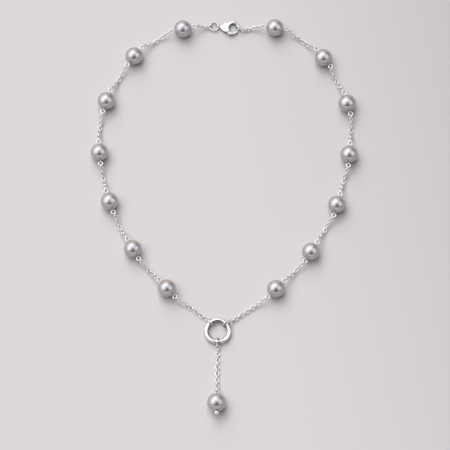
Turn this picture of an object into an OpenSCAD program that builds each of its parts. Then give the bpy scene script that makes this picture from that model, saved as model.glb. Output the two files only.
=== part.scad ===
// Pearl station necklace, lying open on a table: fourteen pearls on wire pins,
// joined by fine cable chain, with a plain ring at the bottom of the loop and
// a drop pearl on a short chain under it. The ends meet at a lobster clasp.
// Millimetres. The table is z = 0, and the drop points along -Y.

/* [Pearls] */
// Diameter of a station pearl
pearl_d = 8.4; // [8:0.1:8.6]
// Diameter of the drop pearl
drop_d = 8.8; // [8.6:0.1:9]
// Diameter of the hole drilled through a pearl
drill_d = 0.8; // [0.7:0.05:1]

/* [Pins] */
// Diameter of the wire that runs through a pearl
pin_d = 0.56; // [0.4:0.02:0.58]
// Diameter of the wire of a pin's eye
eye_wire = 0.6; // [0.6:0.02:0.66]
// Inside diameter of an eye
eye_id = 1.2; // [1.1:0.05:1.3]
// Gap between a pearl and the eye beside it
eye_gap = 0.1; // [0.05:0.05:0.2]
// Diameter of the ball below the drop pearl
ball_d = 2.28; // [2:0.02:2.3]
// Lean of the drop pearl's pin, ball end up, in degrees
drop_lean = 16; // [10:1:18]

/* [Chain] */
// Outside diameter of the chain
chain_d = 1.9; // [1.6:0.1:2]
// Gap between the end of a chain and the eye or ring it is linked to
chain_gap = 0.2; // [0.15:0.05:0.35]
// Height of the middle of a chain where it leaves a pearl
chain_z = 3.3; // [3:0.1:3.4]

/* [Centre ring] */
// Outside diameter of the centre ring
ring_od = 12.7; // [12.6:0.1:12.8]
// Width of the ring's section, across the ring
ring_w = 2.1; // [2.05:0.05:2.15]
// Height of the ring's section
ring_h = 2.1; // [2.05:0.05:2.15]
// Rounding of the section's corners
ring_round = 0.95; // [0.7:0.05:1]
// Height of the ring's underside, where it lies on its jump rings
ring_z = 0.75; // [0.7:0.05:0.8]

/* [Jump rings] */
// Outside diameter of the three jump rings on the centre ring
link_od = 4.4; // [4.4:0.1:4.6]
// Wire of those jump rings
link_wire = 0.5; // [0.4:0.05:0.5]
// Outside diameter of the jump ring at the tail of the clasp
tail_od = 4.9; // [4.8:0.1:5]
// Wire of the jump ring at the tail of the clasp
tail_wire = 0.8; // [0.6:0.05:0.8]
// Outside diameter of the jump ring that the clasp holds
end_od = 4.2; // [4.2:0.1:4.3]
// Wire of the jump ring that the clasp holds
end_wire = 0.5; // [0.4:0.05:0.5]

/* [Clasp] */
// Thickness of the clasp's body
clasp_t = 2.4; // [2.2:0.1:2.4]
// Radius of the round head of the clasp
head_r = 3.1; // [3:0.05:3.15]
// Thickness of the hook's round end
hook_d = 1.1; // [1:0.05:1.1]
// Diameter of the pivot pin of the lever
pivot_d = 0.6; // [0.5:0.05:0.6]
// Gap all round the pivot pin
pivot_fit = 0.05; // [0.02:0.01:0.08]
// Length of the lever from its pivot to the middle of its tip
lever_len = 3.85; // [3.8:0.05:3.9]
// Angle at which the closed lever lies
lever_rest = 12.5; // [12:0.5:13]

/* [Hidden] */
$fn = 64;

pearl_col = [0.66, 0.62, 0.67];
silver_col = [0.85, 0.85, 0.84];

// The stations, from the clasp down the left side and up the right side again:
// where each pearl lies and which way its pin points.
X = 0;
Y = 1;
HEADING = 2;
STATION = [
    //  x      y    heading
    [-19.9, 92.7, -166],
    [-43.1, 78.8, -128],
    [-56.1, 56.0, -108],
    [-59.1, 30.0,  -84],
    [-54.0,  5.5,  -71],
    [-42.8, -17.9, -61],
    [-26.7, -37.2, -48],
    [ 24.1, -37.4,  45],
    [ 40.6, -19.2,  58],
    [ 53.0,   4.0,  74],
    [ 59.1,  29.0,  85],
    [ 58.5,  54.7, 106],
    [ 47.4,  77.9, 127],
    [ 24.3,  93.3, 174]];

// Three points on each chain between its two ends, one row for each chain.
ROUTE = [
    [[-10, 94.5, 1.3], [-11.5, 94.5, 1.8], [-12.5, 94.3, 2.7]],
    [[-28.5, 90, 1.6], [-32, 88, 1.2], [-35.5, 85.5, 1.6]],
    [[-48, 72, 1.6], [-50, 68.5, 1.2], [-52, 65, 1.6]],
    [[-58.5, 47.5, 1.6], [-59, 44, 1.2], [-59.5, 40, 1.6]],
    [[-58, 22, 1.6], [-57.5, 18.5, 1.2], [-56.5, 15, 1.6]],
    [[-51, -2.5, 1.6], [-49.5, -6, 1.2], [-47.5, -9.5, 1.6]],
    [[-38, -24.5, 1.6], [-35.5, -27.5, 1.2], [-33, -30, 1.6]],
    [[-19.5, -43.5, 1.6], [-15.5, -46, 1.2], [-11.5, -49, 1.2]],
    [[7, -50, 1.2], [11.5, -47, 1.2], [16, -44, 1.6]],
    [[30.5, -31, 1.6], [33, -28.5, 1.2], [35.5, -25.5, 1.6]],
    [[45.5, -11, 1.6], [47.5, -7.5, 1.2], [49.5, -4, 1.6]],
    [[55.5, 13.5, 1.6], [56.5, 17, 1.2], [57.5, 20.5, 1.6]],
    [[60, 39, 1.6], [60, 42.5, 1.2], [60, 46, 1.6]],
    [[55, 64, 1.6], [53.5, 67.5, 1.2], [51.5, 70.5, 1.6]],
    [[40, 85.5, 1.6], [37, 88, 1.2], [33.5, 90, 1.6]],
    [[16, 94, 1.6], [13.5, 94, 1.2], [11.5, 93.8, 1.2]]];
DROP_ROUTE = [[-3, -70, 1.2], [-3.2, -75, 1.2], [-3.4, -80, 1.2]];

// The centre ring, and the jump rings on it: where each sits round the ring,
// which way it points, and how far its top leans to the left of that way.
RING_AT = [-3.1, -57.2];
AROUND = 0;
POINTS = 1;
LEANS = 2;
RING_LINK = [
    // around points leans
    [127, 132,  20],
    [ 38,  36,  20],
    [270, 270, -18]];

// The drop pearl and the clasp's pivot.
DROP_AT = [-3.5, -92.1];
PIVOT_AT = [2.4, 91.5];

function unit(v) = v / norm(v);
function dir(a) = [cos(a), sin(a), 0];

pearl_r = pearl_d / 2;
drop_r = drop_d / 2;
eye_r = (eye_id + eye_wire) / 2;
eye_out = eye_gap + eye_wire / 2 + eye_r;
chain_from = eye_gap + eye_id + 2 * eye_wire + chain_gap;
ball_out = sqrt(drop_r * drop_r - drill_d * drill_d / 4)
         + sqrt(ball_d * ball_d / 4 - drill_d * drill_d / 4) + 0.04;

// Points on the chain's way at a station: side -1 is before the pearl, 1 after it.
function station_at(i) = [STATION[i][X], STATION[i][Y], 0];
function station_end(i, side) =
    station_at(i) + side * (pearl_r + chain_from) * dir(STATION[i][HEADING]) + [0, 0, chain_z];

// The middle of a jump ring on the centre ring, and the chain's end beside it.
link_r = (link_od - link_wire) / 2;
link_at_r = (ring_od - ring_w) / 2;
function link_mid(k) = [RING_AT[X], RING_AT[Y], 0]
    + link_at_r * dir(RING_LINK[k][AROUND])
    + [0, 0, link_r * cos(RING_LINK[k][LEANS]) + link_wire / 2 + 0.02];
function link_end(k) = link_mid(k) + (link_od / 2 + chain_gap) * dir(RING_LINK[k][POINTS])
    - [0, 0, 0.4];

// The clasp, in its own frame with the pivot at the origin.
head_at = [1.7, 2.6];
belly_at = [-1.3, 2.8];
belly_r = 2.3;
neck_at = [-4.35, 3.25];
neck_r = 0.42;
hole_r = 2.05;
hole_x = 1.75;
hole_y = [2.45, 2.85];
hook_at = [1.7, 2.8];
hook_r = 2.575;
hook_z = 1.4;
hook_end = -23;
plate_from = 44;
hub_r = 0.74;
tip_r = 0.4;
tip_at = lever_len * [cos(lever_rest), sin(lever_rest)];
knob_at = [1.15, -0.52];
knob_r = 0.36;
mid_z = 1.3;
sweep_r = lever_len + tip_r + 0.09;
eye_at = [-5.35, 3.45, mid_z];
tail_r = (tail_od - tail_wire) / 2;
tail_dir = 172;
tail_tilt = 4;
tail_at = eye_at + tail_r * (cos(tail_tilt) * dir(tail_dir) - [0, 0, sin(tail_tilt)]);
end_r = (end_od - end_wire) / 2;
end_dir = -32;
end_at = [hook_at[0], hook_at[1], 0] + hook_r * dir(-5) + 0.5 * dir(end_dir) + [0, 0, end_od / 2];
clasp_org = [PIVOT_AT[X], PIVOT_AT[Y], 0];
clasp_left = clasp_org + tail_at + [-tail_od / 2 - chain_gap, -0.3, 0];
clasp_right = clasp_org + end_at + (end_od / 2 + 0.5) * dir(end_dir) + [0, 0.5, -0.8];

drop_mid = [DROP_AT[X], DROP_AT[Y], drop_r];
drop_end = drop_mid + (drop_r + chain_from) * [0, cos(drop_lean), -sin(drop_lean)] + [0, 0, -0.6];

// The whole way of chain number k, end to end.
function way(k) = concat(
    [k == 0 ? clasp_left : k < 8 ? station_end(k - 1, 1) : k == 8 ? link_end(1) : station_end(k - 2, 1)],
    ROUTE[k],
    [k < 7 ? station_end(k, -1) : k == 7 ? link_end(0) : k < 15 ? station_end(k - 1, -1) : clasp_right]);

// A round tube with eight sides along the points p, flat side down.
function along(p, i) = unit(
    i == 0 ? p[1] - p[0] :
    i == len(p) - 1 ? p[i] - p[i - 1] :
    unit(p[i + 1] - p[i]) + unit(p[i] - p[i - 1]));
function across(t) = unit([-t[1], t[0], 0]);
function tube_points(p, r) = [
    for (i = [0 : len(p) - 1])
        let (t = along(p, i), s = across(t), u = cross(t, s))
            for (j = [0 : 7]) p[i] + r * (cos(45 * j + 22.5) * s + sin(45 * j + 22.5) * u)];
module tube(p, d) {
    n = len(p);
    polyhedron(
        points = tube_points(p, d / 2),
        faces = concat(
            [[0, 1, 2, 3, 4, 5, 6, 7]],
            [for (i = [0 : n - 2]) for (j = [0 : 7])
                [8 * i + j, 8 * (i + 1) + j, 8 * (i + 1) + (j + 1) % 8, 8 * i + (j + 1) % 8]],
            [[for (j = [7 : -1 : 0]) 8 * (n - 1) + j]]));
}

// A plain ring of round wire, lying flat.
module wire_ring(r, wire) {
    rotate_extrude($fn = 72) translate([r, 0]) circle(d = wire, $fn = 32);
}

// A pearl with a hole drilled along X: half its outline, turned about the hole.
module pearl_shape(d) {
    rotate([0, 90, 0]) rotate_extrude($fn = 96)
        difference() {
            circle(d = d, $fn = 96);
            translate([-d, -d]) square([d + drill_d / 2, 2 * d]);
        }
}

module station_pearl(i) {
    color(pearl_col)
        translate(station_at(i) + [0, 0, pearl_r]) rotate(STATION[i][HEADING]) pearl_shape(pearl_d);
}

// The wire through a station pearl, with a round eye at each end.
module station_pin(i) {
    reach = pearl_r + eye_out;
    color(silver_col)
        translate(station_at(i) + [0, 0, pearl_r]) rotate(STATION[i][HEADING]) {
            rotate([0, 90, 0]) cylinder(d = pin_d, h = 2 * (reach - eye_r), center = true, $fn = 32);
            for (s = [-1, 1]) translate([s * reach, 0, 0]) wire_ring(eye_r, eye_wire);
        }
}

module drop_frame() {
    translate(drop_mid) rotate([-drop_lean, 0, 0]) rotate(90) children();
}

module station_chain(k) {
    color(silver_col) tube(way(k), chain_d);
}

// A jump ring that stands on its edge, points along the heading a and leans by b.
module standing_ring(at, a, b, r, wire) {
    color(silver_col)
        translate(at) rotate(a) rotate([b + 90, 0, 0]) wire_ring(r, wire);
}
module ring_link(k) {
    standing_ring(link_mid(k), RING_LINK[k][POINTS], -RING_LINK[k][LEANS], link_r, link_wire);
}

// The flat band between the outlines of two circles.
function lean_of(a, b) = atan2(b[1] - a[1], b[0] - a[0]);
module band(a, ra, b, rb) {
    t = lean_of(a, b);
    f = acos((ra - rb) / norm(b - a));
    polygon([
        a + ra * [cos(t + f), sin(t + f)], b + rb * [cos(t + f), sin(t + f)],
        b + rb * [cos(t - f), sin(t - f)], a + ra * [cos(t - f), sin(t - f)]]);
}
module disc(at, r) {
    translate(at) circle(r = r, $fn = 96);
}
module wedge(at, from, to, r) {
    translate(at) polygon(concat([[0, 0]],
        [for (i = [0 : 6]) r * [cos(from + (to - from) * i / 6), sin(from + (to - from) * i / 6)]]));
}

// Outline of the clasp's body seen from above, without the hook's end.
module body_outline() {
    difference() {
        union() {
            disc(head_at, head_r);
            disc(hook_at, head_r);
            band(head_at, head_r, belly_at, belly_r);
            disc(belly_at, belly_r);
            band(belly_at, belly_r, neck_at, neck_r);
            disc(neck_at, neck_r);
        }
        for (y = hole_y) disc([hole_x, y], hole_r);
        translate([hole_x - hole_r, hole_y[0]]) square([2 * hole_r, hole_y[1] - hole_y[0]]);
        wedge(head_at, plate_from, -125, 7);
        disc([0, 0], hub_r + 0.12);
    }
}
// Side profile of the body: thin at the neck, full in the middle, thin at the hook.
module body_profile() {
    h = clasp_t / 2;
    polygon([
        [-6, mid_z - 0.5], [-4.4, mid_z - 0.6], [-2.4, mid_z - h], [1.6, mid_z - h], [3.6, mid_z - 0.65], [6, mid_z - 0.65],
        [6, mid_z + 0.75], [3.6, mid_z + 0.75], [1.6, mid_z + h], [-2.4, mid_z + h], [-4.4, mid_z + 0.6], [-6, mid_z + 0.5]]);
}
module clasp_body_shape() {
    difference() {
        union() {
            intersection() {
                linear_extrude(height = 4) body_outline();
                translate([0, 9, 0]) rotate([90, 0, 0]) linear_extrude(height = 14) body_profile();
            }
            // The hook's round end
            translate([hook_at[0], hook_at[1], hook_z]) rotate(hook_end)
                rotate_extrude(angle = plate_from + 8 - hook_end, $fn = 96)
                    translate([hook_r, 0]) circle(d = hook_d, $fn = 32);
            // The small nub on the back
            translate([head_at[0], 6.6, mid_z - 0.4]) cylinder(r = 0.38, h = 0.8, $fn = 32);
            translate([head_at[0] - 0.35, 5.5, mid_z - 0.4]) cube([0.7, 1.1, 0.8]);
        }
        // Room for the lever's tip, which swings inwards past the hook's end
        translate([0, 0, 0.3]) linear_extrude(height = 2.2)
            intersection() {
                disc([0, 0], sweep_r);
                wedge([0, 0], -8, lever_rest + 30, 9);
            }
    }
    // The tongue that carries the pivot, and the pivot pin
    translate([0, 0, mid_z - 0.35]) linear_extrude(height = 0.7) {
        disc([0, 0], hub_r - 0.15);
        band([0, 0], hub_r - 0.15, [-1.2, 1.6], 0.75);
        disc([-1.2, 1.6], 0.75);
    }
    translate([0, 0, 0.2]) cylinder(d = pivot_d, h = 2.2, $fn = 48);
    // The eye at the tail
    translate(eye_at) rotate([90, 0, 0]) wire_ring(0.8, 0.6);
}

// The lever: two cheeks on the pivot pin, a thumb knob, and an arm from there to a round tip.
module clasp_lever_shape() {
    difference() {
        union() {
            for (z = [0.15, 1.75]) translate([0, 0, z]) linear_extrude(height = 0.7) {
                disc([0, 0], hub_r);
                band([0, 0], 0.6, knob_at, knob_r);
                disc(knob_at, knob_r);
            }
            difference() {
                translate([0, 0, 0.5]) linear_extrude(height = 1.6) {
                    disc(knob_at, knob_r);
                    band(knob_at, knob_r, tip_at, tip_r);
                    disc(tip_at, tip_r);
                }
                translate([0, 0, mid_z - 0.45]) cylinder(r = hub_r + 0.05, h = 0.9, $fn = 64);
            }
        }
        translate([0, 0, -1]) cylinder(d = pivot_d + 2 * pivot_fit, h = 5, $fn = 48);
    }
}

module clasp_frame() {
    translate(clasp_org) children();
}

module pearl_01() station_pearl(0);
module pearl_02() station_pearl(1);
module pearl_03() station_pearl(2);
module pearl_04() station_pearl(3);
module pearl_05() station_pearl(4);
module pearl_06() station_pearl(5);
module pearl_07() station_pearl(6);
module pearl_08() station_pearl(7);
module pearl_09() station_pearl(8);
module pearl_10() station_pearl(9);
module pearl_11() station_pearl(10);
module pearl_12() station_pearl(11);
module pearl_13() station_pearl(12);
module pearl_14() station_pearl(13);
module pin_01() station_pin(0);
module pin_02() station_pin(1);
module pin_03() station_pin(2);
module pin_04() station_pin(3);
module pin_05() station_pin(4);
module pin_06() station_pin(5);
module pin_07() station_pin(6);
module pin_08() station_pin(7);
module pin_09() station_pin(8);
module pin_10() station_pin(9);
module pin_11() station_pin(10);
module pin_12() station_pin(11);
module pin_13() station_pin(12);
module pin_14() station_pin(13);
module chain_01() station_chain(0);
module chain_02() station_chain(1);
module chain_03() station_chain(2);
module chain_04() station_chain(3);
module chain_05() station_chain(4);
module chain_06() station_chain(5);
module chain_07() station_chain(6);
module chain_08() station_chain(7);
module chain_09() station_chain(8);
module chain_10() station_chain(9);
module chain_11() station_chain(10);
module chain_12() station_chain(11);
module chain_13() station_chain(12);
module chain_14() station_chain(13);
module chain_15() station_chain(14);
module chain_16() station_chain(15);

module drop_pearl() color(pearl_col) drop_frame() pearl_shape(drop_d);
// The wire through the drop pearl: an eye above, a polished ball below
module head_pin() {
    reach = drop_r + eye_out;
    color(silver_col) drop_frame() {
        translate([-ball_out, 0, 0]) rotate([0, 90, 0])
            cylinder(d = pin_d, h = ball_out + reach - eye_r, $fn = 32);
        translate([reach, 0, 0]) wire_ring(eye_r, eye_wire);
        translate([-ball_out, 0, 0]) sphere(d = ball_d, $fn = 64);
    }
}
module drop_chain() color(silver_col) tube(concat([link_end(2)], DROP_ROUTE, [drop_end]), chain_d);

module centre_ring() {
    c = ring_round;
    color(silver_col) translate([RING_AT[X], RING_AT[Y], ring_z])
        rotate_extrude($fn = 128) translate([ring_od / 2 - ring_w, 0]) {
            translate([c, 0]) square([ring_w - 2 * c, ring_h]);
            translate([0, c]) square([ring_w, ring_h - 2 * c]);
            for (x = [c, ring_w - c], z = [c, ring_h - c]) translate([x, z]) circle(r = c, $fn = 48);
        }
}
module ring_link_left() ring_link(0);
module ring_link_right() ring_link(1);
module ring_link_bottom() ring_link(2);
module clasp_body() color(silver_col) clasp_frame() clasp_body_shape();
module clasp_lever() color(silver_col) clasp_frame() clasp_lever_shape();
module clasp_ring() color(silver_col) clasp_frame()
    translate(tail_at) rotate([0, -tail_tilt, 0]) wire_ring(tail_r, tail_wire);
module end_ring() clasp_frame() standing_ring(end_at, end_dir, 0, end_r, end_wire);

pearl_01();
pearl_02();
pearl_03();
pearl_04();
pearl_05();
pearl_06();
pearl_07();
pearl_08();
pearl_09();
pearl_10();
pearl_11();
pearl_12();
pearl_13();
pearl_14();
drop_pearl();
pin_01();
pin_02();
pin_03();
pin_04();
pin_05();
pin_06();
pin_07();
pin_08();
pin_09();
pin_10();
pin_11();
pin_12();
pin_13();
pin_14();
head_pin();
chain_01();
chain_02();
chain_03();
chain_04();
chain_05();
chain_06();
chain_07();
chain_08();
chain_09();
chain_10();
chain_11();
chain_12();
chain_13();
chain_14();
chain_15();
chain_16();
drop_chain();
centre_ring();
ring_link_left();
ring_link_right();
ring_link_bottom();
clasp_body();
clasp_lever();
clasp_ring();
end_ring();
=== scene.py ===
"""A pearl station necklace lying open on a pale surface. Lengths in the tables are millimetres."""
import math
import random
import bpy
import numpy as np
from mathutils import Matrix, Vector


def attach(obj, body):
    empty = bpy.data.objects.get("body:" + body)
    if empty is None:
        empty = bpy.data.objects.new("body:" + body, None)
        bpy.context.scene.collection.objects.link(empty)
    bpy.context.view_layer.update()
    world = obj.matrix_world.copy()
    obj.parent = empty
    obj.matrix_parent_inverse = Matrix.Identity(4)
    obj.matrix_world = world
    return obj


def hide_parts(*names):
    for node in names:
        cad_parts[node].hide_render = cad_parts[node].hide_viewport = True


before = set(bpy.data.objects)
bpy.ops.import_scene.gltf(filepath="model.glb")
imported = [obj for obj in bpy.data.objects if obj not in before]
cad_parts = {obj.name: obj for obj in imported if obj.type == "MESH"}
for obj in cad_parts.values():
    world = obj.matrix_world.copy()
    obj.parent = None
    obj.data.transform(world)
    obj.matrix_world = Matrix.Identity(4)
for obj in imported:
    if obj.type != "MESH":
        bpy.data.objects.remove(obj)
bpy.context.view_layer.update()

MM = 0.001
NECKLACE = "necklace"
LEVER = "lever"

# ---------------------------------------------------------------- sizes and places
PEARL_R = 4.2
DROP_R = 4.4
DRILL_R = 0.4
PIN_R = 0.28
EYE_WIRE = 0.6
EYE_R = 0.9                  # middle of the eye's wire
EYE_OUT = 1.3                # pearl's surface to the middle of the eye
DROP_LEAN = 16.0
BALL_R = 1.14
BALL_OUT = 5.489
RING_OD, RING_W, RING_H, RING_Z = 12.7, 2.1, 2.1, 0.75
LINK_WIRE, LINK_L, LINK_W = 0.43, 2.07, 1.63      # a chain link's wire, and its middle line

# x, y and heading of each station pearl, from the clasp down the left side and up the right
STATION = [
    (-19.9, 92.7, -166), (-43.1, 78.8, -128), (-56.1, 56.0, -108), (-59.1, 30.0, -84),
    (-54.0, 5.5, -71), (-42.8, -17.9, -61), (-26.7, -37.2, -48),
    (24.1, -37.4, 45), (40.6, -19.2, 58), (53.0, 4.0, 74), (59.1, 29.0, 85),
    (58.5, 54.7, 106), (47.4, 77.9, 127), (24.3, 93.3, 174)]

# three points on each chain between its two ends, seen from above
ROUTE = [
    [(-10, 94.5), (-11.5, 94.5), (-12.5, 94.3)],
    [(-28.5, 90), (-32, 88), (-35.5, 85.5)],
    [(-48, 72), (-50, 68.5), (-52, 65)],
    [(-58.5, 47.5), (-59, 44), (-59.5, 40)],
    [(-58, 22), (-57.5, 18.5), (-56.5, 15)],
    [(-51, -2.5), (-49.5, -6), (-47.5, -9.5)],
    [(-38, -24.5), (-35.5, -27.5), (-33, -30)],
    [(-19.5, -43.5), (-15.5, -46), (-11.5, -49)],
    [(7, -50), (11.5, -47), (16, -44)],
    [(30.5, -31), (33, -28.5), (35.5, -25.5)],
    [(45.5, -11), (47.5, -7.5), (49.5, -4)],
    [(55.5, 13.5), (56.5, 17), (57.5, 20.5)],
    [(60, 39), (60, 42.5), (60, 46)],
    [(55, 64), (53.5, 67.5), (51.5, 70.5)],
    [(40, 85.5), (37, 88), (33.5, 90)],
    [(16, 94), (13.5, 94), (11.5, 93.8)]]
DROP_ROUTE = [(-3, -70), (-3.2, -75), (-3.4, -80)]

RING_AT = (-3.1, -57.2)
# each jump ring on the centre ring: around, points, leans
RING_LINK = [(127, 132, 20), (38, 36, 20), (270, 270, -18)]
JUMP_R, JUMP_WIRE = 1.95, 0.5
DROP_AT = (-3.5, -92.1)
PIVOT_AT = (2.4, 91.5)

# the clasp, in its own frame with the pivot at the origin
HEAD_AT, HEAD_R = (1.7, 2.6), 3.1
BELLY_AT, BELLY_R = (-1.3, 2.8), 2.3
NECK_AT, NECK_R = (-4.35, 3.25), 0.42
HOOK_AT, HOOK_R, HOOK_Z, HOOK_END = (1.7, 2.8), 2.575, 1.4, -23.0
MID_Z = 1.3
TAIL_EYE = (-5.35, 3.45, MID_Z)
LEVER_LEN, LEVER_REST = 3.85, 12.5
KNOB_AT = (1.15, -0.52)          # the lever bends here, where a nail pushes it


def unit(v):
    v = np.asarray(v, float)
    return v / np.linalg.norm(v)


def heading(a):
    return np.array([math.cos(math.radians(a)), math.sin(math.radians(a)), 0.0])


# ---------------------------------------------------------------- materials
class Maker:
    """Short ways to add shader nodes to one tree."""

    def __init__(self, tree):
        self.tree = tree
        self.count = 0

    def node(self, kind, **settings):
        n = self.tree.nodes.new(kind)
        n.location = (-200 * (self.count % 12), -220 * (self.count // 12))
        self.count += 1
        for k, v in settings.items():
            setattr(n, k, v)
        return n

    def put(self, socket, value):
        if hasattr(value, "is_output"):
            self.tree.links.new(value, socket)
        elif value is not None:
            socket.default_value = value

    def math(self, op, a, b=None, c=None, clamp=False):
        n = self.node("ShaderNodeMath", operation=op, use_clamp=clamp)
        for i, v in enumerate((a, b, c)):
            self.put(n.inputs[i], v)
        return n.outputs[0]

    def vec(self, op, a, b=None, scale=None):
        n = self.node("ShaderNodeVectorMath", operation=op)
        self.put(n.inputs[0], a)
        self.put(n.inputs[1], b)
        if scale is not None:
            self.put(n.inputs["Scale"], scale)
        return n.outputs["Value"] if op in ("DOT_PRODUCT", "LENGTH") else n.outputs["Vector"]

    def ramp01(self, v, lo, hi):
        """0 below lo, 1 above hi, smooth between."""
        n = self.node("ShaderNodeMapRange", interpolation_type="SMOOTHSTEP", clamp=True)
        self.put(n.inputs["Value"], v)
        n.inputs["From Min"].default_value = lo
        n.inputs["From Max"].default_value = hi
        return n.outputs["Result"]

    def span(self, v, lo, hi, to_lo, to_hi):
        n = self.node("ShaderNodeMapRange", clamp=True)
        self.put(n.inputs["Value"], v)
        for k, x in (("From Min", lo), ("From Max", hi), ("To Min", to_lo), ("To Max", to_hi)):
            n.inputs[k].default_value = x
        return n.outputs["Result"]

    def noise(self, vector, scale, detail=2.0, rough=0.5, distortion=0.0):
        n = self.node("ShaderNodeTexNoise")
        self.put(n.inputs["Vector"], vector)
        n.inputs["Scale"].default_value = scale
        n.inputs["Detail"].default_value = detail
        n.inputs["Roughness"].default_value = rough
        n.inputs["Distortion"].default_value = distortion
        return n.outputs["Fac"]

    def mix(self, fac, a, b):
        n = self.node("ShaderNodeMix", data_type="RGBA")
        self.put(n.inputs["Factor"], fac)
        self.put(n.inputs[6], a)
        self.put(n.inputs[7], b)
        return n.outputs[2]

    def bump(self, height, strength, distance, normal=None):
        n = self.node("ShaderNodeBump")
        n.inputs["Strength"].default_value = strength
        n.inputs["Distance"].default_value = distance
        self.put(n.inputs["Height"], height)
        if normal is not None:
            self.put(n.inputs["Normal"], normal)
        return n.outputs["Normal"]

    def place_mm(self):
        """Where the point is, in millimetres."""
        tc = self.node("ShaderNodeTexCoord")
        return self.vec("SCALE", tc.outputs["Object"], scale=1000.0)


def surface(name, build):
    mat = bpy.data.materials.new(name)
    mat.use_nodes = True
    mat.node_tree.nodes.clear()
    m = Maker(mat.node_tree)
    out = m.node("ShaderNodeOutputMaterial")
    bsdf = m.node("ShaderNodeBsdfPrincipled")
    m.put(out.inputs["Surface"], bsdf.outputs["BSDF"])
    build(m, bsdf)
    return mat


def nacre(m, b):
    p = m.place_mm()
    cloud = m.noise(p, 0.34, 3.0, 0.55, 0.6)
    bands = m.noise(m.vec("MULTIPLY", p, (1.0, 1.0, 2.2)), 0.9, 4.0, 0.6, 1.4)
    fine = m.noise(p, 7.0, 3.0, 0.6)
    tone = m.mix(m.ramp01(cloud, 0.34, 0.66), (0.245, 0.160, 0.130, 1), (0.215, 0.148, 0.128, 1))
    tone = m.mix(m.span(bands, 0.35, 0.75, 0.0, 0.35), tone, (0.250, 0.175, 0.128, 1))
    tone = m.mix(m.span(fine, 0.3, 0.7, 0.0, 0.12), tone, (0.19, 0.135, 0.120, 1))
    m.put(b.inputs["Base Color"], tone)
    m.put(b.inputs["Roughness"], m.span(m.noise(p, 1.1, 3.0), 0.3, 0.7, 0.20, 0.26))
    b.inputs["IOR"].default_value = 4.3
    b.inputs["Specular Tint"].default_value = (0.84, 0.93, 1.0, 1)
    b.inputs["Sheen Weight"].default_value = 0.26
    b.inputs["Sheen Roughness"].default_value = 0.45
    b.inputs["Sheen Tint"].default_value = (1.0, 0.52, 0.60, 1)
    b.inputs["Coat Weight"].default_value = 0.5
    b.inputs["Coat Roughness"].default_value = 0.1
    b.inputs["Coat IOR"].default_value = 1.4
    waves = m.noise(p, 0.8, 2.0, 0.5, 0.3)
    n = m.bump(waves, 0.25, 0.00012)
    m.put(b.inputs["Normal"], m.bump(fine, 0.18, 0.00002, n))


def silver(rough, scratch, tint=(0.70, 0.685, 0.67, 1), inside=(0.22, 0.195, 0.175, 1)):
    """Bright silver, with painted shade (a darker colour, a little rougher) where a wire faces the inside of its loop,
    and wherever else the inner weight is set.
    """
    def build(m, b):
        p = m.place_mm()
        tarnish = m.noise(p, 0.55, 4.0, 0.6)
        grain = m.noise(m.vec("MULTIPLY", p, (1.0, 6.0, 3.0)), 5.0, 4.0, 0.65, 0.4)
        lines = m.noise(m.vec("MULTIPLY", p, (9.0, 1.2, 4.0)), 3.0, 3.0, 0.7)
        dull = tuple(c * k for c, k in zip(tint, (0.93, 0.915, 0.895))) + (1,)
        # painted shade: the inner weight darkens the base colour toward the inside colour
        inner = m.node("ShaderNodeAttribute", attribute_name="inner").outputs["Fac"]
        inner = m.math("MULTIPLY", m.ramp01(inner, 0.1, 0.8), m.span(grain, 0.25, 0.75, 0.75, 1.0))
        tone = m.mix(m.span(tarnish, 0.42, 0.75, 0.0, 0.8), tint, dull)
        m.put(b.inputs["Base Color"], m.mix(inner, tone, inside))
        b.inputs["Metallic"].default_value = 1.0
        wear = m.math("MULTIPLY", m.span(grain, 0.3, 0.75, 0.75, 1.45), rough)
        wear = m.math("ADD", wear, m.span(tarnish, 0.5, 0.8, 0.0, 0.05))
        m.put(b.inputs["Roughness"], m.math("ADD", wear, m.math("MULTIPLY", inner, 0.12)))
        dents = m.noise(p, 1.3, 2.0, 0.5)
        n = m.bump(dents, 0.35, 0.00003)
        m.put(b.inputs["Normal"], m.bump(lines, scratch, 0.000006, n))
    return build


PEARL = surface("nacre", nacre)
# the last colour given to silver is the colour of its painted shade
BRIGHT = surface("silver_polished", silver(0.07, 0.25))
WIRE = surface("silver_wire", silver(0.10, 0.3, (0.80, 0.785, 0.765, 1)))
CHAIN = surface("silver_chain", silver(0.14, 0.3, (0.83, 0.812, 0.79, 1), (0.15, 0.122, 0.10, 1)))


# ---------------------------------------------------------------- making meshes
def make(name, verts, faces, mat, body=NECKLACE, replaces=(), inner=None):
    """One piece from points in millimetres."""
    mesh = bpy.data.meshes.new(name)
    mesh.from_pydata([tuple(v) for v in (np.asarray(verts, float) * MM).tolist()], [], [tuple(f) for f in faces])
    mesh.validate()
    mesh.polygons.foreach_set("use_smooth", [True] * len(mesh.polygons))
    # the inner weight marks where the silver gets painted shade
    if inner is not None:
        mesh.attributes.new("inner", "FLOAT", "POINT").data.foreach_set("value", np.asarray(inner, float))
    mesh.materials.append(mat)
    obj = bpy.data.objects.new(name, mesh)
    bpy.context.scene.collection.objects.link(obj)
    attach(obj, body)
    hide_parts(*(replaces or (name,)))
    return obj


class Heap:
    """Several shapes gathered into one mesh."""

    def __init__(self):
        self.verts, self.faces, self.inner, self.n = [], [], [], 0

    def add(self, verts, faces, inner=None):
        verts = np.asarray(verts, float)
        self.verts.append(verts)
        self.inner.append(np.zeros(len(verts)) if inner is None else inner)
        self.faces.extend([tuple(int(i) + self.n for i in f) for f in faces])
        self.n += len(verts)

    def points(self):
        return np.vstack(self.verts)

    def make(self, name, mat, slot):
        return make(name, self.points(), self.faces, mat, inner=np.concatenate(self.inner))


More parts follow.
